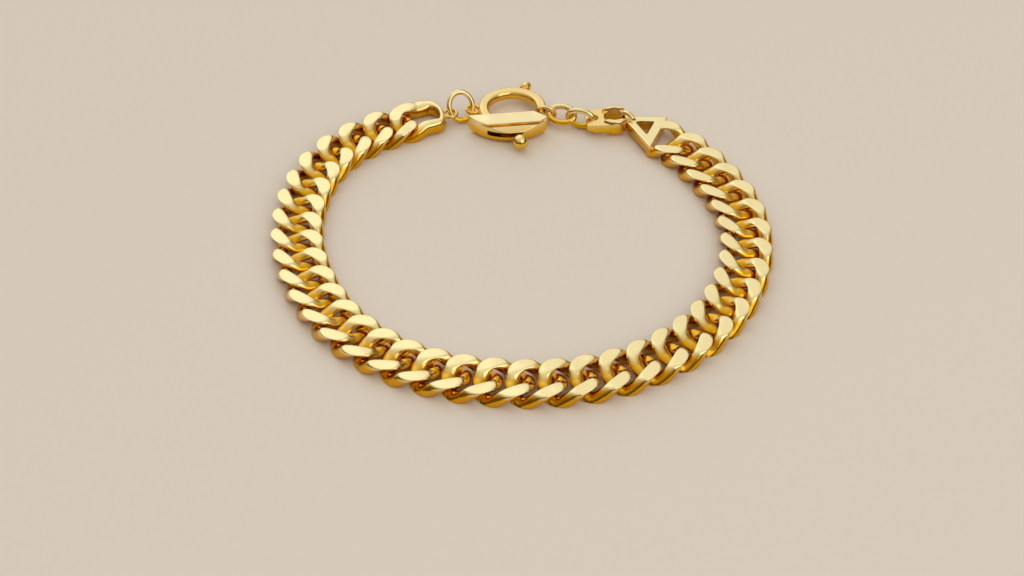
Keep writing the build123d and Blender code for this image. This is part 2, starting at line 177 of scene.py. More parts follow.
# %% [markdown]
# The whole bracelet is polished yellow gold. Real polished gold isn't a perfect mirror: the wheel
# leaves hairlines and soft waves, and wear makes some spots a little duller. Low down between the
# links the colour is painted darker and redder, as painted shade for the recesses there. Noise on
# Object coordinates gives the first three, and height above the table gives the painted shade, so
# they stay with the metal when the clasp's bolt moves. A painted texture could do the same, but it
# would need images and would blur when seen close.

# %% Gold
CLOUD_SCALE = 700.0
WAVE_SCALE = 330.0
WAVE_DEPTH = 0.00016
HAIRLINE_SCALE = 1500.0
HAIRLINE_STRETCH = (1.0, 9.0, 4.0)
HAIRLINE_STRENGTH = 0.05
HAIRLINE_DEPTH = 0.0001
# Roughness of clean metal, and what clouds, hairlines and the painted shade add to it
POLISH = 0.05
CLOUD_ROUGHNESS = 0.08
HAIRLINE_ROUGHNESS = 0.05
PAINTED_SHADE_ROUGHNESS = 0.04
# The painted shade is this strong where no cloud is, and a full cloud adds the second number
PAINTED_SHADE_LEAST = 0.8
PAINTED_SHADE_CLOUDS = 0.4
GOLDS = (
    # name, polished colour, painted shade colour, shade full below, shade gone above (metres)
    ("chain_gold", (1.0, 0.83, 0.42, 1.0), (0.78, 0.41, 0.012, 1.0), 0.0014, 0.00218),
    ("finding_gold", (1.0, 0.83, 0.45, 1.0), (0.88, 0.52, 0.015, 1.0), 0.0012, 0.0030),
)


def gold(name, colour, painted_shade, shade_full_below, shade_gone_above):
    """Polished gold with painted shade, full below one height in metres and gone above another."""
    material, graph = new_material(name)
    place = graph.node("ShaderNodeTexCoord", output="Object")
    height = graph.node("ShaderNodeSeparateXYZ", sockets={"Vector": place}, output="Z")
    # Painted shade: 1 low down between the links, 0 on the flats on top
    shade_by_height = graph.node(
        "ShaderNodeMapRange",
        {"interpolation_type": "SMOOTHSTEP"},
        {
            "Value": height,
            "From Min": shade_full_below,
            "From Max": shade_gone_above,
            "To Min": 1.0,
            "To Max": 0.0,
        },
        "Result",
    )
    clouds = graph.node(
        "ShaderNodeTexNoise", {}, {"Vector": place, "Scale": CLOUD_SCALE, "Detail": 3.0}, "Fac"
    )
    # How strongly the darker, redder painted shade replaces the polished colour, varied by the clouds
    painted_shade_mask = shade_by_height * (clouds * PAINTED_SHADE_CLOUDS + PAINTED_SHADE_LEAST)
    tint = graph.node(
        "ShaderNodeMix",
        {"data_type": "RGBA"},
        {"Factor": painted_shade_mask.math("MINIMUM", 1.0), "A": colour, "B": painted_shade},
        "Result",
    )
    stretched = graph.node(
        "ShaderNodeMapping", {}, {"Vector": place, "Scale": HAIRLINE_STRETCH}, "Vector"
    )
    hairlines = graph.node(
        "ShaderNodeTexNoise",
        {},
        {"Vector": stretched, "Scale": HAIRLINE_SCALE, "Detail": 2.0},
        "Fac",
    )
    worn = clouds * CLOUD_ROUGHNESS + hairlines * HAIRLINE_ROUGHNESS + POLISH
    rough = worn + painted_shade_mask * PAINTED_SHADE_ROUGHNESS
    waves = graph.node(
        "ShaderNodeTexNoise", {}, {"Vector": place, "Scale": WAVE_SCALE, "Detail": 0.0}, "Fac"
    )
    uneven = graph.node(
        "ShaderNodeBump", {}, {"Strength": 1.0, "Distance": WAVE_DEPTH, "Height": waves}, "Normal"
    )
    bump = graph.node(
        "ShaderNodeBump",
        {},
        {
            "Strength": HAIRLINE_STRENGTH,
            "Distance": HAIRLINE_DEPTH,
            "Height": hairlines,
            "Normal": uneven,
        },
        "Normal",
    )
    shader = graph.node(
        "ShaderNodeBsdfPrincipled",
        {},
        {"Base Color": tint, "Metallic": 1.0, "Roughness": rough, "Normal": bump},
        "BSDF",
    )
    graph.node("ShaderNodeOutputMaterial", {}, {"Surface": shader}, None)
    return material


chain_gold, finding_gold = (gold(*row) for row in GOLDS)
print("materials", chain_gold.name, finding_gold.name)

# %% [markdown]
# The table is a plain, pale, matt surface. One even colour would do, but a faint grain keeps it
# from looking like paper. It is far wider than the picture, so that no edge shows.

# %% Table
TABLE_HALF = 3.0
TABLE_GRAIN = 900.0
TABLE_ROUGHNESS = 0.75
TABLE_COLOURS = ((0.90, 0.83, 0.77, 1.0), (0.92, 0.85, 0.79, 1.0))


def table_top():
    """A wide matt surface at z = 0."""
    mesh = bpy.data.meshes.new("table_top")
    signs = ((-1, -1), (1, -1), (1, 1), (-1, 1))
    corners = [(x * TABLE_HALF, y * TABLE_HALF, 0) for x, y in signs]
    mesh.from_pydata(corners, [], [(0, 1, 2, 3)])
    table = bpy.data.objects.new("table_top", mesh)
    bpy.context.scene.collection.objects.link(table)
    material, graph = new_material("table_finish")
    place = graph.node("ShaderNodeTexCoord", output="Object")
    grain = graph.node(
        "ShaderNodeTexNoise", {}, {"Vector": place, "Scale": TABLE_GRAIN, "Detail": 2.0}, "Fac"
    )
    colour = graph.node(
        "ShaderNodeMix",
        {"data_type": "RGBA"},
        {"Factor": grain, "A": TABLE_COLOURS[0], "B": TABLE_COLOURS[1]},
        "Result",
    )
    shader = graph.node(
        "ShaderNodeBsdfPrincipled",
        {},
        {"Base Color": colour, "Roughness": TABLE_ROUGHNESS},
        "BSDF",
    )
    graph.node("ShaderNodeOutputMaterial", {}, {"Surface": shader}, None)
    mesh.materials.append(material)


table_top()
print("table, side in metres", 2 * TABLE_HALF)

# %% [markdown]
# Polished gold shows little but its surroundings, so the room matters more than the lamps. It is
# dark and warm low down, pale overhead, and brightest on a wall behind the table, which the flats
# on top of the links mirror towards the camera. A soft window behind on the left and a lamp in
# front on the right add the highlights. Small strong lamps would be simpler, but they would leave
# hard spots on the metal and hard shadows on the table.

# %% Light
ROOM_COLOURS = (
    # how far up one looks, 0 level or lower and 1 straight up, and the colour there
    (0.0, (0.10, 0.06, 0.02, 1.0)),
    (0.25, (0.14, 0.09, 0.03, 1.0)),
    (0.5, (0.46, 0.38, 0.24, 1.0)),
    (1.0, (0.80, 0.77, 0.70, 1.0)),
)
# Where the pale wall behind the table stands brightest, as a direction, and the cosines of the
# angles from it at which the glow ends and is full
GLOW_TOWARDS = Vector((-0.35, 0.72, 0.60)).normalized()
GLOW_COLOUR = (0.90, 0.90, 0.90, 1.0)
GLOW_EDGE = 0.62
GLOW_CORE = 0.95
SOFT_LIGHTS = (
    # name, place, size (metres), power (watts), colour
    ("window", (-0.45, 0.80, 0.80), (0.9, 0.6), 0.32, (1.0, 0.97, 0.92)),
    ("front_lamp", (0.55, -0.60, 0.60), (0.8, 0.7), 1.7, (1.0, 0.98, 0.95)),
)


def soft_light(name, place, size, power, colour):
    """A flat light that faces the middle of the bracelet."""
    data = bpy.data.lights.new(name, "AREA")
    data.shape = "RECTANGLE"
    data.size, data.size_y = size
    data.energy = power
    data.color = colour
    light = bpy.data.objects.new(name, data)
    light.location = place
    light.rotation_euler = (-Vector(place)).to_track_quat("-Z", "Y").to_euler()
    bpy.context.scene.collection.objects.link(light)


def room():
    """A warm room with a pale glow behind on the left; the light grows with height."""
    world = bpy.data.worlds.new("room")
    bpy.context.scene.world = world
    world.use_nodes = True
    world.node_tree.nodes.clear()
    graph = Graph(world.node_tree)
    way = graph.node("ShaderNodeTexCoord", output="Generated")
    up = graph.node("ShaderNodeSeparateXYZ", {}, {"Vector": way}, "Z")
    ramp = graph.node("ShaderNodeValToRGB", {"stops": ROOM_COLOURS}, {"Fac": up}, "Color")
    towards = graph.node(
        "ShaderNodeVectorMath", {"operation": "DOT_PRODUCT"}, {0: way, 1: GLOW_TOWARDS}, "Value"
    )
    glow = graph.node(
        "ShaderNodeMapRange",
        {"interpolation_type": "SMOOTHSTEP"},
        {"Value": towards, "From Min": GLOW_EDGE, "From Max": GLOW_CORE},
        "Result",
    )
    colour = graph.node(
        "ShaderNodeMix",
        {"data_type": "RGBA"},
        {"Factor": glow, "A": ramp, "B": GLOW_COLOUR},
        "Result",
    )
    shader = graph.node(
        "ShaderNodeBackground", {}, {"Color": colour, "Strength": 1.0}, "Background"
    )
    graph.node("ShaderNodeOutputWorld", {}, {"Surface": shader}, None)


room()
for row in SOFT_LIGHTS:
    soft_light(*row)
bpy.context.scene.view_settings.view_transform = "Standard"

# %% [markdown]
# Every link of the chain has one shape, so one Geometry Nodes tree makes them all. The tree bends a
# circle into the link's twisted oval, draws wire along it, lowers the wire near the middle of the
# chain, grinds both faces flat, and moves the link to its place. Lowering the middle is what makes
# the flats taper into leaves. Sliding a ready link along a curve would be quicker to write, but
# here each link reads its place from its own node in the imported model.

# %% Tree for a bent wire
# How fast the dip fades out from the chain's middle; 1 would be a straight slope
DIP_FADE = 1.2


def wire_tree():
    """A Geometry Nodes tree for a closed link of wire, lying along X."""
    tree = bpy.data.node_groups.new("bent_wire", "GeometryNodeTree")
    inputs = (
        # name, kind, value when nothing else is given
        ("Half Length", "NodeSocketFloat", 0.003),
        ("Half Width", "NodeSocketFloat", 0.0025),
        ("Rise", "NodeSocketFloat", 0.001),
        ("Lead", "NodeSocketFloat", 0.0),
        ("Wire Radius", "NodeSocketFloat", 0.0009),
        ("Ground Height", "NodeSocketFloat", 0.0024),
        ("Edge", "NodeSocketFloat", 0.00035),
        ("Dip", "NodeSocketFloat", 0.0),
        ("Dip Width", "NodeSocketFloat", 0.0022),
        ("Squareness", "NodeSocketFloat", 1.0),
        ("Roundness", "NodeSocketFloat", 1.0),
        ("Steps", "NodeSocketInt", 72),
        ("Round", "NodeSocketInt", 24),
        ("Lean", "NodeSocketVector", (0.0, 0.0, 0.0)),
        ("Place", "NodeSocketVector", (0.0, 0.0, 0.0)),
        ("Finish", "NodeSocketMaterial", None),
    )
    for name, kind, value in inputs:
        item = tree.interface.new_socket(name, in_out="INPUT", socket_type=kind)
        if value is not None:
            item.default_value = value
    tree.interface.new_socket("Geometry", in_out="OUTPUT", socket_type="NodeSocketGeometry")
    graph = Graph(tree)
    given = graph.node("NodeGroupInput", output=None)

    def put(name):
        return Socket(graph, given.outputs[name])

    circle = graph.node(
        "GeometryNodeCurvePrimitiveCircle", {}, {"Resolution": put("Steps"), "Radius": 1.0}, "Curve"
    )
    where = graph.node("GeometryNodeInputPosition")
    parts = graph.node("ShaderNodeSeparateXYZ", {}, {"Vector": where}, None)
    cosine = Socket(graph, parts.outputs["X"])
    sine = Socket(graph, parts.outputs["Y"])

    def moved_out(share, power):
        return share.math("SIGN") * share.math("ABSOLUTE").math("POWER", power)

    # The path: an oval that rises on two opposite quarters and sinks on the other two
    twist = cosine * sine * put("Rise") * -2.0
    lead = 1.0 - put("Lead") * (1.0 - sine * sine * 2.0)
    bent = graph.node(
        "ShaderNodeCombineXYZ",
        {},
        {
            "X": moved_out(cosine, put("Roundness")) * put("Half Length"),
            "Y": moved_out(sine, put("Roundness")) * put("Half Width"),
            "Z": twist * lead,
        },
    )
    path = graph.node("GeometryNodeSetPosition", {}, {"Geometry": circle, "Position": bent})
    upright = graph.node("GeometryNodeSetCurveNormal", {"mode": "Z_UP"}, {"Curve": path})

    # The wire: a circle whose points move in or out a little, swept along the path
    round_section = graph.node(
        "GeometryNodeCurvePrimitiveCircle", {}, {"Resolution": put("Round"), "Radius": 1.0}, "Curve"
    )
    corner = graph.node(
        "ShaderNodeSeparateXYZ", {}, {"Vector": graph.node("GeometryNodeInputPosition")}, None
    )

    def squared(axis):
        return moved_out(Socket(graph, corner.outputs[axis]), put("Squareness"))

    section_point = graph.node(
        "ShaderNodeCombineXYZ",
        {},
        {"X": squared("X") * put("Wire Radius"), "Y": squared("Y") * put("Wire Radius")},
    )
    section = graph.node(
        "GeometryNodeSetPosition", {}, {"Geometry": round_section, "Position": section_point}
    )
    wire = graph.node(
        "GeometryNodeCurveToMesh", {}, {"Curve": upright, "Profile Curve": section}, "Mesh"
    )

    # The faces: lower towards the middle of the chain, then ground flat with a soft edge
    spot = graph.node(
        "ShaderNodeSeparateXYZ", {}, {"Vector": graph.node("GeometryNodeInputPosition")}, None
    )
    aside = Socket(graph, spot.outputs["Y"]).math("ABSOLUTE") / put("Dip Width")
    dip = (1.0 - aside.math("MINIMUM", 1.0)).math("POWER", DIP_FADE) * put("Dip")
    height = Socket(graph, spot.outputs["Z"]) * (1.0 - dip)
    knee = put("Ground Height") * 0.5 - put("Edge")
    over = (height.math("ABSOLUTE") - knee).math("MAXIMUM", 0.0)
    eased = put("Edge") * (1.0 - (over * -1.0 / put("Edge")).math("EXPONENT"))
    level = height.math("SIGN") * (height.math("ABSOLUTE") - over + eased)
    ground_point = graph.node(
        "ShaderNodeCombineXYZ",
        {},
        {"X": Socket(graph, spot.outputs["X"]), "Y": Socket(graph, spot.outputs["Y"]), "Z": level},
    )
    ground = graph.node("GeometryNodeSetPosition", {}, {"Geometry": wire, "Position": ground_point})
    moved = graph.node(
        "GeometryNodeTransform",
        {},
        {"Geometry": ground, "Translation": put("Place"), "Rotation": put("Lean")},
    )
    real = graph.node("GeometryNodeRealizeInstances", {}, {"Geometry": moved})
    done = graph.node(
        "GeometryNodeSetMaterial", {}, {"Geometry": real, "Material": put("Finish")}
    )
    graph.node("NodeGroupOutput", {}, {0: done}, None)
    return tree


bent_wire = wire_tree()
print("tree", bent_wire.name, "nodes", len(bent_wire.nodes))

# %% [markdown]
# A modifier on an empty object runs the tree with the sizes of one piece, and its result is kept
# as a plain mesh. Leaving the modifier in place would keep it editable, but a plain mesh can be cut
# and joined like any other, and every piece then stands on its own.

# %% Make a wire piece from the tree


def tree_mesh(name, sizes):
    """What the tree makes from some sizes, as a plain mesh."""
    carrier = bpy.data.objects.new(name + "_carrier", bpy.data.meshes.new(name))
    bpy.context.scene.collection.objects.link(carrier)
    modifier = carrier.modifiers.new("bent wire", "NODES")
    modifier.node_group = bent_wire
    for item in bent_wire.interface.items_tree:
        if item.in_out == "INPUT" and item.name in sizes:
            modifier[item.identifier] = sizes[item.name]
    carrier.update_tag()
    depsgraph = bpy.context.evaluated_depsgraph_get()
    mesh = bpy.data.meshes.new_from_object(carrier.evaluated_get(depsgraph))
    carrier.modifiers.remove(modifier)
    bpy.data.objects.remove(carrier)
    return mesh


def wire_piece(name, node, sizes, body="bracelet"):
    """A piece made by the tree that replaces its node."""
    piece = bpy.data.objects.new(name, tree_mesh(name, sizes))
    bpy.context.scene.collection.objects.link(piece)
    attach(piece, body)
    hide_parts(node)
    return piece


def lie_of(node):
    """The middle of a node, in metres, and the direction of its long axis seen from above."""
    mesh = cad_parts[node].data
    points = np.empty(len(mesh.vertices) * 3, np.float32)
    mesh.vertices.foreach_get("co", points)
    points = points.reshape(-1, 3).astype(float)
    low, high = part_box(node)
    middle = points.mean(0)
    flat = points[:, :2] - middle[:2]
    _, axes = np.linalg.eigh(flat.T @ flat)
    return (middle[0], middle[1], (low.z + high.z) / 2), math.atan2(axes[1, 1], axes[0, 1])


print("chain's first link lies at", [round(v / MM, 2) for v in lie_of("link_01")[0]])

# %% [markdown]
# Now the chain itself: one set of sizes serves all of its links, and only the place and the turn
# differ. Each link replaces its own node, so the links stay separate and hook into one another. One
# long mesh for the whole chain would be lighter, but then no link could move by itself.

# %% The chain
LINK_COUNT = 36
WIRE_RADIUS = 0.93
LINK_HALF_LENGTH = 3.04
LINK_HALF_WIDTH = 2.76
LINK_ROUNDNESS = 0.9
ARM_RISE = 1.2
RISE_LEAD = 0.3
CHAIN_HEIGHT = 2.2
GROUND_EDGE = 0.16
WIRE_SQUARENESS = 1.18
DIP = 0.5
DIP_WIDTH = 2.75
LINK_STEPS = 96
WIRE_CORNERS = 32


def link_sizes(unit):
    """What the tree needs for one link. The unit is MM for metres and 1 for millimetres."""
    return {
        "Half Length": LINK_HALF_LENGTH * unit,
        "Half Width": LINK_HALF_WIDTH * unit,
        "Rise": ARM_RISE * unit,
        "Lead": RISE_LEAD,
        "Wire Radius": WIRE_RADIUS * unit,
        "Ground Height": CHAIN_HEIGHT * unit,
        "Edge": GROUND_EDGE * unit,
        "Dip": DIP,
        "Dip Width": DIP_WIDTH * unit,
        "Squareness": WIRE_SQUARENESS,
        "Roundness": LINK_ROUNDNESS,
    }


for number in range(1, LINK_COUNT + 1):
    node = f"link_{number:02d}"
    middle, turn = lie_of(node)
    wire_piece(
        f"curb_{node}",
        node,
        {
            **link_sizes(MM),
            "Steps": LINK_STEPS,
            "Round": WIRE_CORNERS,
            "Lean": (0.0, 0.0, turn),
            "Place": (middle[0], middle[1], CHAIN_HEIGHT / 2 * MM),
            "Finish": chain_gold,
        },
    )
sample = bpy.data.objects["curb_link_01"].data
print("links", LINK_COUNT, "faces each", len(sample.polygons))

# %% [markdown]
# The rest of the bracelet is cast or soldered: a clasp, a hook eye and two end caps. Such a piece
# is a few simple forms grown together, with its edges worn round by polishing. Modelling every
# fillet by hand would take long and leave seams. Here the forms are joined and cut exactly, the
# result is rebuilt from small voxels, and a few rounds of smoothing wear its edges down.

# %% Blocks


def mesh_of(name, points, faces):
    """A closed mesh with its faces turned outwards."""
    mesh = bpy.data.meshes.new(name)
    mesh.from_pydata([tuple(p) for p in points], [], faces)
    work = bmesh.new()
    work.from_mesh(mesh)
    bmesh.ops.recalc_face_normals(work, faces=work.faces)
    work.to_mesh(mesh)
    work.free()
    return mesh


def loft(rings, closed=False):
    """A skin over rings of as many points each, capped at both ends or closed on itself."""
    count = len(rings[0])
    points = [p for ring in rings for p in ring]
    faces = []
    last = len(rings) if closed else len(rings) - 1
    for r in range(last):
        here, there = r * count, (r + 1) % len(rings) * count
        for k in range(count):
            n = (k + 1) % count
            faces.append((here + k, here + n, there + n, there + k))
    if not closed:
        faces.append(tuple(range(count)))
        faces.append(tuple(range((len(rings) - 1) * count, len(rings) * count)))
    return mesh_of("loft", points, faces)


def prism(outline, low, high):
    """An outline of (x, y) points made a block between two heights."""
    return loft([[(x, y, low) for x, y in outline], [(x, y, high) for x, y in outline]])


print("flat forms ready: loft, prism")

# %% [markdown]
# Rings, balls, rods and cups are round. Each is a profile that is turned about an axis, as on a
# lathe. Ready-made round shapes would do for some of them, but not for a part of a ring or for a
# profile with flats.

# %% Round forms
BALL_ROWS = 24
BALL_STEPS = 36
# A ball stays open by this hair's breadth round its axis until the voxels close it
BALL_AXIS_GAP = 0.002
RING_CORNERS = 20
RING_STEPS = 64


def turned(profile, start=0.0, end=360.0, steps=96, shift=(0.0, 0.0)):
    """A profile of (distance, height) points turned about an upright axis."""
    whole = end - start >= 360
    rings = []
    for k in range(steps if whole else steps + 1):
        a = math.radians(start + (end - start) * k / steps)
        rings.append(
            [(shift[0] + d * math.cos(a), shift[1] + d * math.sin(a), h) for d, h in profile]
        )
    return loft(rings, closed=whole)


def disc(distance, height, radius, half_height=None, corners=32):
    """A round section for turned(), with flats where half_height is less than the radius."""
    limit = half_height or radius
    points = []
    for k in range(corners):
        a = 2 * math.pi * k / corners
        up = max(-limit, min(limit, radius * math.sin(a)))
        points.append((distance + radius * math.cos(a), height + up))
    return points


def ball(centre, radius):
    """A ball turned about its own upright axis."""
    profile = []
    for k in range(BALL_ROWS + 1):
        a = math.pi * k / BALL_ROWS - math.pi / 2
        from_axis = max(radius * math.cos(a), BALL_AXIS_GAP)
        profile.append((from_axis, centre[2] + radius * math.sin(a)))
    return turned(profile, steps=BALL_STEPS, shift=centre[:2])


def rod(start, end, radius, corners=24):
    """A round rod between two points."""
    start, end = Vector(start), Vector(end)
    turn = (end - start).to_track_quat("Z", "Y").to_matrix()
    rings = []
    for centre in (start, end):
        ring = []
        for k in range(corners):
            a = 2 * math.pi * k / corners
            ring.append(centre + turn @ Vector((radius * math.cos(a), radius * math.sin(a), 0)))
        rings.append(ring)
    return loft(rings)


def ring(centre, radius, wire, tilt=0.0):
    """A wire ring; a tilt of 90 degrees about X stands it up."""
    mesh = turned(disc(radius, 0.0, wire / 2, corners=RING_CORNERS), steps=RING_STEPS)
    mesh.transform(Matrix.Translation(centre) @ Matrix.Rotation(math.radians(tilt), 4, "X"))
    return mesh


def around(radius, angle, height=0.0):
    """A point at a distance from the upright axis, at an angle and a height."""
    a = math.radians(angle)
    return (radius * math.cos(a), radius * math.sin(a), height)


print("round forms ready: turned, disc, ball, rod, ring")

# %% [markdown]
# Every piece is cast in the same order: its forms are joined and cut, the result is rebuilt from
# voxels and worn, and last it is shrunk from millimetres to metres and moved to its place. The
# voxels are small enough to keep each slot and eye open. Smaller ones would keep sharper edges, but
# for polished metal the worn ones look right and need fewer triangles.

# %% Cast a piece from forms
VOXEL = 0.07
WEAR = 6
WEAR_FACTOR = 0.5


def as_object(mesh):
    """A mesh as an object of the scene."""
    made = bpy.data.objects.new(mesh.name, mesh)
    bpy.context.scene.collection.objects.link(made)
    return made


def evaluated_mesh(holder):
    """An object's mesh with its modifiers carried out."""
    holder.update_tag()
    depsgraph = bpy.context.evaluated_depsgraph_get()
    return bpy.data.meshes.new_from_object(holder.evaluated_get(depsgraph))


def combined(mesh, steps):
    """A mesh after others are joined to it, cut from it or kept as what both share, in order."""
    holder = as_object(mesh)
    tools = []
    for operation, other in steps:
        tool = as_object(other)
        tools.append(tool)
        modifier = holder.modifiers.new(operation, "BOOLEAN")
        modifier.operation = operation
        modifier.solver = "EXACT"
        modifier.object = tool
    result = evaluated_mesh(holder)
    for thing in (*tools, holder):
        bpy.data.objects.remove(thing)
    return result


def cast(
    name,
    node,
    joined,
    cut,
    finish,
    place,
    voxel=VOXEL,
    wear=WEAR,
    body="bracelet",
):
    """Joins and cuts forms given in mm, wears the edges round, and moves the piece to its place."""
    steps = [("UNION", mesh) for mesh in joined[1:]] + [("DIFFERENCE", mesh) for mesh in cut]
    holder = as_object(combined(joined[0], steps))
    remesh = holder.modifiers.new("grain", "REMESH")
    remesh.mode = "VOXEL"
    remesh.voxel_size = voxel
    remesh.use_smooth_shade = True
    polish = holder.modifiers.new("wear", "SMOOTH")
    polish.factor = WEAR_FACTOR
    polish.iterations = wear
    mesh = evaluated_mesh(holder)
    bpy.data.objects.remove(holder)
    x, y, z, turn = place
    move = Matrix.Translation((x, y, z)) @ Matrix.Rotation(math.radians(turn), 4, "Z")
    mesh.transform(Matrix.Scale(MM, 4) @ move)
    mesh.materials.clear()
    mesh.materials.append(finish)
    piece = bpy.data.objects.new(name, mesh)
    bpy.context.scene.collection.objects.link(piece)
    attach(piece, body)
    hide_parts(node)
    triangles = sum(len(p.vertices) - 2 for p in mesh.polygons)
    print(name, "triangles", triangles)
    return piece


print("casting ready, voxels of", VOXEL, "mm")

# %% [markdown]
# Each of these pieces is made about its own middle and is then put in its place. The places could
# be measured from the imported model, as the links' are, but such a piece has one side that must face
# the right way, and a measured axis doesn't tell which.

# %% Places of the other pieces
PLACES = {
    # x, y and z in mm, and a turn in degrees
    "end_cap_left": (-11.071, 26.234, 1.100, -163.62),
    "end_cap_right": (22.910, 18.823, 1.100, 140.84),
    "hook_eye": (13.742, 24.991, 0.000, -174.79),
    "small_link_2": (8.860, 25.036, 1.800, 163.38),
    "small_link_1": (6.097, 25.974, 1.800, 159.11),
    "gate_ring": (3.683, 26.642, 1.500, 172.01),
    "clasp_body": (-1.120, 27.444, 0.000, 6.79),
    "jump_ring": (-8.578, 27.002, 1.600, -162.47),
}
print("places", len(PLACES))

# %% [markdown]
# The clasp is a ring clasp: an arch of wire with flats, a housing in front that hides a spring, a
# gap on the right, and a bolt that slides across the gap when its ball is pushed. The housing is
# turned like a cup and then cut off behind and at the gap. Pulling it up from a flat outline would
# be simpler, but would leave out the rounded foot of its wall.

# %% Clasp's housing
HOUSING_RADIUS = 7.4
HOUSING_LEFT = 0.45
HOUSING_BACK = 1.1
HOUSING_HEIGHT = 3.1
HOUSING_CHORD = 2.6
HOUSING_BAR = 2.6
HOUSING_STEP = 0.3
PANEL_SLOPE = 38.0
GAP_START = -42.5
# The groove under the flat bar on top, from the bar's front line and the panel's top
GROOVE_BEHIND = 0.7
GROOVE_AHEAD = 0.2
GROOVE_BELOW = 0.2
GROOVE_ABOVE = 0.08
# From the left end round the front to the right end, in degrees
HOUSING_TURN = (150, 390)
HOUSING_STEPS = 128
# How far cutting blocks reach from a piece's middle, past all of it
PAST_ALL = 9.0
WIDE_BLOCK = 20
BAR_REACH = 15.0

# Distance from the housing's middle and height, from the top's edge down to the foot
HOUSING_PROFILE = (
    (0.5, HOUSING_HEIGHT),
    (HOUSING_RADIUS, HOUSING_HEIGHT),
    (HOUSING_RADIUS, 1.30),
    (7.32, 0.85),
    (7.12, 0.45),
    (6.85, 0.15),
    (6.60, 0.0),
    (0.5, 0.0),
)


def half_plane(angle, distance):
    """A big block that covers what lies beyond a line, for cutting."""
    far = distance + WIDE_BLOCK
    outline = [(-WIDE_BLOCK, distance), (WIDE_BLOCK, distance)]
    outline += [(WIDE_BLOCK, far), (-WIDE_BLOCK, far)]
    mesh = prism(outline, -PAST_ALL, PAST_ALL)
    mesh.transform(Matrix.Rotation(math.radians(angle), 4, "Z"))
    return mesh


def bar_across(corners):
    """A long bar along X whose section is given as (y, z) points."""
    return loft([[(x, y, z) for y, z in corners] for x in (-BAR_REACH, BAR_REACH)])


def clasp_housing():
    """The housing: turned, cut off behind and at the gap, and given its panel and its groove."""
    housing = turned(HOUSING_PROFILE, *HOUSING_TURN, HOUSING_STEPS, (-HOUSING_LEFT, HOUSING_BACK))
    bar_front = -HOUSING_CHORD - HOUSING_BAR
    panel_top = HOUSING_HEIGHT - HOUSING_STEP
    panel_drop = HOUSING_RADIUS * math.tan(math.radians(PANEL_SLOPE))
    above_panel = bar_across(
        [
            (bar_front, panel_top),
            (bar_front, 2 * HOUSING_HEIGHT),
            (bar_front - HOUSING_RADIUS, 2 * HOUSING_HEIGHT),
            (bar_front - HOUSING_RADIUS, panel_top - panel_drop),
        ]
    )
    groove = bar_across(
        [
            (bar_front + GROOVE_BEHIND, panel_top - GROOVE_BELOW),
            (bar_front + GROOVE_BEHIND, panel_top + GROOVE_ABOVE),
            (bar_front - GROOVE_AHEAD, panel_top + GROOVE_ABOVE),
            (bar_front - GROOVE_AHEAD, panel_top - GROOVE_BELOW),
        ]
    )
    trims = (half_plane(0, -HOUSING_CHORD), half_plane(GAP_START, 0), above_panel, groove)
    return combined(housing, [("DIFFERENCE", mesh) for mesh in trims])


clasp_front = clasp_housing()
print("housing's faces before casting", len(clasp_front.polygons))

# %% [markdown]
# The rest of the clasp's body is wire: an arch with flats above and below, an eye on the left for
# the jump ring, and a stout peg behind. The channel for the bolt and the slot for its stem are cut
# last, through arch and housing at once, so that they line up.

# %% Clasp's ring, eye and peg
RING_RADIUS = 4.25
TUBE_RADIUS = 0.88
TUBE_FLAT = 0.74
TUBE_HEIGHT = HOUSING_HEIGHT / 2
GAP_END = -7.5
EYE_RADIUS = 0.9
EYE_WIRE = 0.55
EYE_HEIGHT = 1.6
EYE_SOLDER = 0.2
EYE_ANGLE = 172.5
PEG_ANGLE = 64.5
PEG_RADIUS = 0.79
PEG_START = 5.55
PEG_END = 6.58
STALK_SHARE = 0.6
BOLT_RADIUS = 0.38
BOLT_TIP = 4.5
BOLT_TAIL = 9.0
BOLT_TRAVEL = 36.0
LEVER_ANGLE = -88.5
STEM_RADIUS = 0.26
CLEARANCE = 0.12


def clasp_forms(housing):
    """What is joined and what is cut for the clasp's body."""
    arch = turned(disc(RING_RADIUS, TUBE_HEIGHT, TUBE_RADIUS, TUBE_FLAT), GAP_END, 360 + GAP_START)
    eye = ring(
        around(RING_RADIUS + TUBE_RADIUS + EYE_RADIUS - EYE_SOLDER, EYE_ANGLE, EYE_HEIGHT),
        EYE_RADIUS,
        EYE_WIRE,
    )
    peg = rod(
        around(PEG_START, PEG_ANGLE, TUBE_HEIGHT),
        around(PEG_END, PEG_ANGLE, TUBE_HEIGHT),
        PEG_RADIUS,
    )
    stalk = rod(
        around(RING_RADIUS, PEG_ANGLE, TUBE_HEIGHT),
        around(PEG_END - PEG_RADIUS, PEG_ANGLE, TUBE_HEIGHT),
        PEG_RADIUS * STALK_SHARE,
    )
    slack = math.degrees((STEM_RADIUS + CLEARANCE) / RING_RADIUS)
    open_angle = LEVER_ANGLE - BOLT_TRAVEL
    channel = turned(
        disc(RING_RADIUS, TUBE_HEIGHT, BOLT_RADIUS + CLEARANCE),
        open_angle - BOLT_TAIL - slack,
        BOLT_TIP + slack,
    )
    half_slot = STEM_RADIUS + CLEARANCE
    slot = turned(
        (
            (RING_RADIUS, TUBE_HEIGHT - half_slot),
            (2 * HOUSING_RADIUS, TUBE_HEIGHT - half_slot),
            (2 * HOUSING_RADIUS, TUBE_HEIGHT + half_slot),
            (RING_RADIUS, TUBE_HEIGHT + half_slot),
        ),
        open_angle - slack,
        LEVER_ANGLE + slack,
    )
    return [housing, arch, eye, peg, stalk], [channel, slot]


joined, cut = clasp_forms(clasp_front)
cast("clasp_ring_body", "clasp_body", joined, cut, finding_gold, PLACES["clasp_body"])

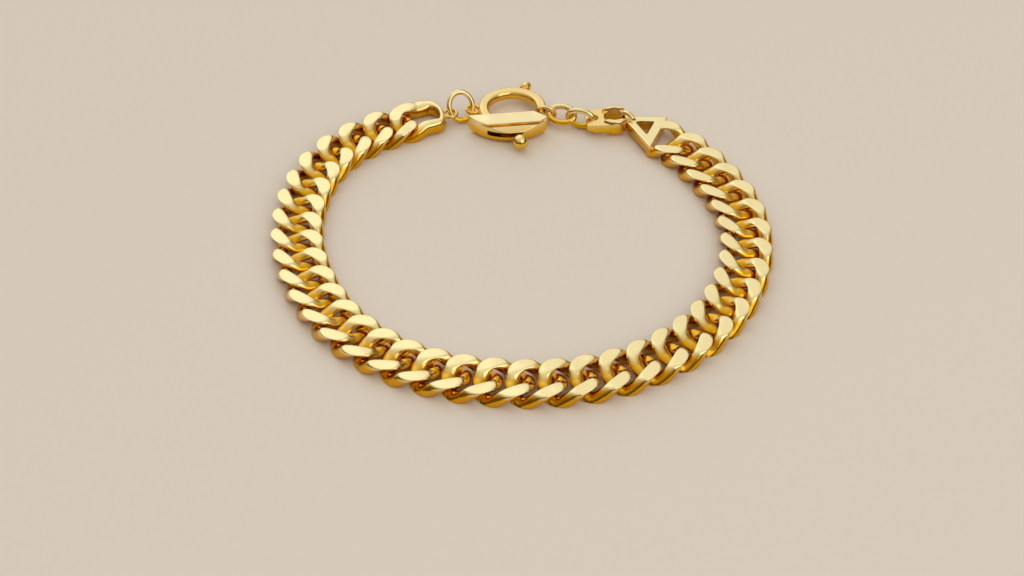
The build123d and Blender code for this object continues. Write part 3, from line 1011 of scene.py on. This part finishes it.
# %% [markdown]
# The bolt is a curved piece of wire inside the clasp's tube, with a stem that comes out through the
# slot and a ball for the thumb. It rides on its own body and turns about the ring's axis, so it is
# made on the same middle as the clasp. The housing isn't centred on that axis, so the ball's
# distance is measured at both ends of the slot and the greater one is taken.

# %% Bolt with its thumb ball
BALL_RADIUS = 1.1
BOLT_VOXEL = 0.05
BOLT_WEAR = 4


def housing_reach(angle):
    """How far the housing's outer wall is from the ring's axis at an angle."""
    middle = Vector((-HOUSING_LEFT, HOUSING_BACK, 0.0))
    along = Vector(around(1.0, angle)).dot(middle)
    return along + math.sqrt(HOUSING_RADIUS**2 + along**2 - middle.length**2)


farthest = max(housing_reach(LEVER_ANGLE), housing_reach(LEVER_ANGLE - BOLT_TRAVEL))
ball_distance = farthest + CLEARANCE + BALL_RADIUS
cast(
    "clasp_sliding_bolt",
    "clasp_bolt",
    [
        turned(disc(RING_RADIUS, TUBE_HEIGHT, BOLT_RADIUS), LEVER_ANGLE - BOLT_TAIL, BOLT_TIP),
        rod(
            around(RING_RADIUS, LEVER_ANGLE, TUBE_HEIGHT),
            around(ball_distance, LEVER_ANGLE, TUBE_HEIGHT),
            STEM_RADIUS,
        ),
        ball(around(ball_distance, LEVER_ANGLE, TUBE_HEIGHT), BALL_RADIUS),
    ],
    [],
    finding_gold,
    PLACES["clasp_body"],
    voxel=BOLT_VOXEL,
    wear=BOLT_WEAR,
    body="bolt",
)

# %% [markdown]
# The hook eye is a shield-shaped plate with a round eye that the right cap's loop goes through. Its
# skirts reach down to the table on both sides and leave a channel for the loop and the small link.
# Bending it from sheet would be how a goldsmith does it. Here the two skirts are cut from full
# blocks, because the channel between them then has a sure width.

# %% Hook eye's outline
HOOK_EYE_RADIUS = 1.5
HOOK_WALL = 0.7
HOOK_LUG_REACH = 4.2
HOOK_LUG_WIDTH = 4.0


def circle_outline(radius, centre=(0.0, 0.0), corners=48, start=0.0, end=360.0):
    """Points of (x, y) on a circle or, with start and end, on an arc."""
    whole = end - start >= 360
    count = corners if whole else corners + 1
    points = []
    for k in range(count):
        a = math.radians(start + (end - start) * k / corners)
        points.append((centre[0] + radius * math.cos(a), centre[1] + radius * math.sin(a)))
    return points


def hook_outline():
    """The circle round the eye, and the tangents from it to the lug's two corners."""
    outer = HOOK_EYE_RADIUS + HOOK_WALL
    half = HOOK_LUG_WIDTH / 2
    to_corner = math.hypot(HOOK_LUG_REACH, half)
    corner = math.degrees(math.atan2(half, HOOK_LUG_REACH))
    touch = corner + math.degrees(math.acos(outer / to_corner))
    arc = circle_outline(outer, start=touch, end=360 - touch)
    return arc + [(HOOK_LUG_REACH, -half), (HOOK_LUG_REACH, half)]


print("hook eye's outline", len(hook_outline()), "points")

# %% [markdown]
# The outline serves twice: thin for the plate, and tall for the block that the skirts are cut
# from. A rim that is rounded above and below runs round the eye.

# %% Hook eye
HOOK_PLATE = 0.8
HOOK_TOP = 2.2
HOOK_RIM_TOP = 2.7
HOOK_KEEL = 0.8
HOOK_SKIRT = 0.9
HOOK_LUG_HOLE = 0.68
HOOK_LUG_WALL = 0.5
HOOK_CHANNEL = 2.6
HOOK_FOOT = 0.1
HOOK_PAST_LUG = 0.1
HOOK_HOLE_CORNERS = 32
HOOK_VOXEL = 0.06
PAST_BELOW = -1.0

# Distance from the eye's middle and height: the rim's outside, rounded at its foot and its top
RIM_PROFILE = (
    (0.01, 0.1),
    (1.75, 0.1),
    (2.08, 0.45),
    (2.20, 1.0),
    (2.20, 2.30),
    (2.08, 2.58),
    (1.85, HOOK_RIM_TOP),
    (0.01, HOOK_RIM_TOP),
)


def hook_forms():
    """What is joined and what is cut for the hook eye: a plate on two half skirts with a rim."""
    plate = prism(hook_outline(), HOOK_TOP - HOOK_PLATE, HOOK_TOP)
    slope = [
        (HOOK_KEEL, HOOK_FOOT),
        (HOOK_LUG_REACH + HOOK_PAST_LUG, HOOK_TOP - HOOK_PLATE),
        (HOOK_LUG_REACH + HOOK_PAST_LUG, HOOK_FOOT),
    ]
    under_lug = loft([[(x, y, z) for x, z in slope] for y in (-PAST_ALL, PAST_ALL)])
    halves = []
    for side in (1, -1):
        near = side * HOOK_CHANNEL / 2
        far = near + side * PAST_ALL
        reach = [(-PAST_ALL, near), (PAST_ALL, near), (PAST_ALL, far), (-PAST_ALL, far)]
        steps = (
            ("DIFFERENCE", under_lug),
            ("UNION", turned(RIM_PROFILE)),
            ("INTERSECT", prism(reach, PAST_BELOW, PAST_ALL)),
        )
        halves.append(combined(prism(hook_outline(), HOOK_SKIRT, HOOK_TOP), steps))
    hole_centre = HOOK_LUG_REACH - HOOK_LUG_WALL - HOOK_LUG_HOLE
    eye = prism(circle_outline(HOOK_EYE_RADIUS), PAST_BELOW, PAST_ALL)
    hole = circle_outline(HOOK_LUG_HOLE, (hole_centre, 0.0), HOOK_HOLE_CORNERS)
    return [plate, *halves], [eye, prism(hole, PAST_BELOW, PAST_ALL)]


joined, cut = hook_forms()
place = PLACES["hook_eye"]
cast("hook_eye_plate", "hook_eye", joined, cut, finding_gold, place, voxel=HOOK_VOXEL)

# %% [markdown]
# The right end cap is a three-sided frame of flat bar. Half a link is soldered to its base, and a
# small upright loop sits at its point. The half link comes from the same tree as the chain and is
# cut along the middle of the base bar, so that it matches the link that hooks into it.

# %% Right end cap
BASE_DISTANCE = 3.7
BASE_WIDTH = 7.6
BASE_SKEW = 1.2
BASE_BAR = 1.5
SIDE_BAR = 1.15
CAP_REACH = 8.75
CAP_POINT_WIDTH = 1.8
CAP_THICKNESS = 1.7
APEX_LOOP_RADIUS = 1.1
APEX_LOOP_WIRE = 0.7
APEX_SOLDER = 0.45
HALF_HEIGHT = CHAIN_HEIGHT / 2


def crossing(first, second):
    """Where two lines meet, each given as a point and a direction."""
    (px, py), (ux, uy) = first
    (qx, qy), (vx, vy) = second
    along = ((qx - px) * vy - (qy - py) * vx) / (ux * vy - uy * vx)
    return (px + ux * along, py + uy * along)


def right_cap_forms():
    """What is joined and what is cut for the right end cap."""
    base, half, point = BASE_DISTANCE, BASE_WIDTH / 2, CAP_POINT_WIDTH / 2
    outer_side, inner_side = (base + BASE_SKEW, -half), (base - BASE_SKEW, half)
    outline = [outer_side, inner_side, (CAP_REACH, point), (CAP_REACH, -point)]
    lines = [((base + BASE_BAR, 0.0), (-2 * BASE_SKEW, BASE_WIDTH))]
    for (x, y), tip, side in ((inner_side, point, 1), (outer_side, -point, -1)):
        way = Vector((CAP_REACH - x, tip - y)).normalized()
        inwards = Vector((way.y, -way.x)) * side * SIDE_BAR
        lines.append(((x + inwards.x, y + inwards.y), (way.x, way.y)))
    front = ((CAP_REACH - SIDE_BAR, 0.0), (0.0, 1.0))
    opening = [crossing(lines[0], lines[1]), crossing(lines[1], front)]
    opening += [crossing(front, lines[2]), crossing(lines[2], lines[0])]
    frame_block = prism(outline, HALF_HEIGHT - CAP_THICKNESS, HALF_HEIGHT)
    window = prism(opening, -PAST_ALL, PAST_ALL)
    shift = LINK_HALF_LENGTH - (WIRE_RADIUS * 2 + CLEARANCE) / 2
    link = tree_mesh("soldered_link", {**link_sizes(1), "Place": (shift, 0.0, 0.0)})
    middle = BASE_BAR / 2
    reach = [(-PAST_ALL, -half), (outer_side[0] + middle, -half), (inner_side[0] + middle, half)]
    reach.append((-PAST_ALL, half))
    half_link = combined(link, [("INTERSECT", prism(reach, -PAST_ALL, PAST_ALL))])
    loop_height = HOOK_TOP - HOOK_PLATE / 2 - HALF_HEIGHT
    loop_centre = (CAP_REACH + APEX_LOOP_RADIUS - APEX_SOLDER, 0.0, loop_height)
    loop = ring(loop_centre, APEX_LOOP_RADIUS, APEX_LOOP_WIRE, 90)
    return [frame_block, half_link, loop], [window]


joined, cut = right_cap_forms()
cast(
    "right_end_cap",
    "end_cap_right",
    joined,
    cut,
    chain_gold,
    PLACES["end_cap_right"],
)

# %% [markdown]
# The left end cap is a long last link. Its outer arm bulges, its inner arm is flat, and both run
# together in a square end that carries an eye. It is a sweep through a table of sections: the same
# tree as the chain can't make it, because its wire changes in width all the way round.

# %% Left end cap's rows
LEFT_CAP_LENGTH = 6.3
LEFT_CAP_RISE = 1.2
OUTER_ARM = (
    # along, across, rise, width, height
    (0.075, 0.10, 0.0, 0.50, 1.00),
    (0.080, -0.50, 0.0, 0.55, 1.00),
    (0.210, -1.02, 0.0, 0.95, 1.00),
    (0.420, -1.14, 0.0, 1.33, 1.00),
    (0.640, -1.06, 0.05, 1.30, 0.95),
)
INNER_ARM = (
    (0.740, 0.88, -0.25, 1.00, 0.85),
    (0.540, 0.68, 0.0, 1.05, 1.00),
    (0.320, 0.62, 0.0, 1.00, 1.00),
    (0.150, 0.56, 0.0, 0.75, 1.00),
)
END_ANGLES = (-62, -42, -21, 0, 21, 42, 62)


def left_cap_rows():
    """Rows of x, y, z, half width and half height round the cap's closed path."""

    def scaled(rows):
        found = []
        for along, across, rise, width, height in rows:
            x, y = along * LEFT_CAP_LENGTH, across * LINK_HALF_WIDTH
            found.append((x, y, rise * LEFT_CAP_RISE, width * WIRE_RADIUS, height * HALF_HEIGHT))
        return found

    shift = LEFT_CAP_LENGTH + (WIRE_RADIUS * 2 + CLEARANCE) / 2 - LINK_HALF_LENGTH
    bow = []
    for angle in END_ANGLES:
        t = math.radians(angle)
        x = LINK_HALF_LENGTH * math.cos(t) ** LINK_ROUNDNESS + shift
        y = LINK_HALF_WIDTH * math.copysign(abs(math.sin(t)) ** LINK_ROUNDNESS, t)
        z = -LEFT_CAP_RISE * math.sin(2 * t)
        bow.append((x, y, z, WIRE_RADIUS, WIRE_RADIUS))
    return np.array(scaled(OUTER_ARM) + bow + scaled(INNER_ARM))


print("left cap's rows", len(left_cap_rows()))

# %% [markdown]
# A smooth curve runs through those rows, and at each of its points a section of the bar stands
# across the path. The sections are skinned, and the eye is soldered on by the casting.

# %% Left end cap
BETWEEN = 5
SECTION_CORNERS = 28
SECTION_SQUARENESS = 0.85
LEFT_CAP_VOXEL = 0.06
EYE_STANDOFF = 0.9


def between_rows(rows, parts):
    """A closed smooth curve through the rows, with some parts between each two."""
    found = []
    for k in range(len(rows)):
        a, b, c, d = (rows[(k + j) % len(rows)] for j in (-1, 0, 1, 2))
        for part in range(parts):
            u = part / parts
            found.append(
                0.5
                * (2 * b + (c - a) * u + (2 * a - 5 * b + 4 * c - d) * u**2)
                + 0.5 * (3 * b - a - 3 * c + d) * u**3
            )
    return found


def left_cap_sweep():
    """The cap's bar: a section moved along its closed path and turned with it."""
    rows = between_rows(left_cap_rows(), BETWEEN)
    rings = []
    for k, (x, y, z, half_width, half_height) in enumerate(rows):
        ahead, behind = rows[(k + 1) % len(rows)], rows[k - 1]
        along = Vector(ahead[:3] - behind[:3]).normalized()
        outward = Vector((along.y, -along.x, 0)).normalized()
        up = along.cross(outward)
        section = []
        for corner in range(SECTION_CORNERS):
            a = 2 * math.pi * corner / SECTION_CORNERS
            side = math.copysign(abs(math.cos(a)) ** SECTION_SQUARENESS, math.cos(a))
            rise = math.copysign(abs(math.sin(a)) ** SECTION_SQUARENESS, math.sin(a))
            p = Vector((x, y, z)) + outward * (half_width * side) + up * (half_height * rise)
            p.z = max(-HALF_HEIGHT, min(HALF_HEIGHT, p.z))
            section.append(p)
        rings.append(section)
    return loft(rings, closed=True)


left_eye = ring((-EYE_STANDOFF, 0.0, EYE_HEIGHT - HALF_HEIGHT), EYE_RADIUS, EYE_WIRE)
cast(
    "left_end_cap",
    "end_cap_left",
    [left_cap_sweep(), left_eye],
    [],
    chain_gold,
    PLACES["end_cap_left"],
    voxel=LEFT_CAP_VOXEL,
)

# %% [markdown]
# The jump ring, the gate ring and the two small links are plain round wire, so they come from the
# same tree as the chain, with no rise and with grinding so high up that it takes nothing away. A
# torus would do for a round ring, but not for the ovals.

# %% Rings and small links
NO_GRINDING = 20.0
JUMP_HALF_LENGTH = 1.75
JUMP_HALF_HEIGHT = 2.2
# A little less than that, so that the round wire stays inside the CAD model's box
JUMP_SEEN_HEIGHT = 2.085
JUMP_WIRE = 0.78
JUMP_LEAN = 32.0
SMALL_LINKS = (
    # node, half length, half width, wire, roll
    ("gate_ring", 1.4, 1.12, 0.56, 90.0),
    ("small_link_1", 1.92, 1.33, 0.86, -26.0),
    ("small_link_2", 1.92, 1.33, 0.86, 90.0),
)

for node, half_length, half_width, wire, roll in SMALL_LINKS:
    x, y, z, turn = PLACES[node]
    wire_piece(
        node.replace("_", "_wire_", 1),
        node,
        {
            "Half Length": half_length * MM,
            "Half Width": half_width * MM,
            "Rise": 0.0,
            "Wire Radius": wire / 2 * MM,
            "Ground Height": NO_GRINDING * MM,
            "Lean": (math.radians(roll), 0.0, math.radians(turn)),
            "Place": (x * MM, y * MM, z * MM),
            "Finish": finding_gold,
        },
    )

lean = math.radians(JUMP_LEAN)
centre_height = JUMP_HALF_HEIGHT * math.cos(lean) + JUMP_WIRE / 2
back = (centre_height - EYE_HEIGHT) * math.tan(lean)
x, y, z, turn = PLACES["jump_ring"]
t = math.radians(turn)
wire_piece(
    "jump_wire_ring",
    "jump_ring",
    {
        "Half Length": JUMP_HALF_LENGTH * MM,
        "Half Width": JUMP_SEEN_HEIGHT * MM,
        "Rise": 0.0,
        "Wire Radius": JUMP_WIRE / 2 * MM,
        "Ground Height": NO_GRINDING * MM,
        "Lean": (math.radians(90 + JUMP_LEAN), 0.0, t),
        "Place": ((x + back * math.sin(t)) * MM, (y - back * math.cos(t)) * MM, centre_height * MM),
        "Finish": finding_gold,
    },
)
print("rings and small links", len(SMALL_LINKS) + 1)
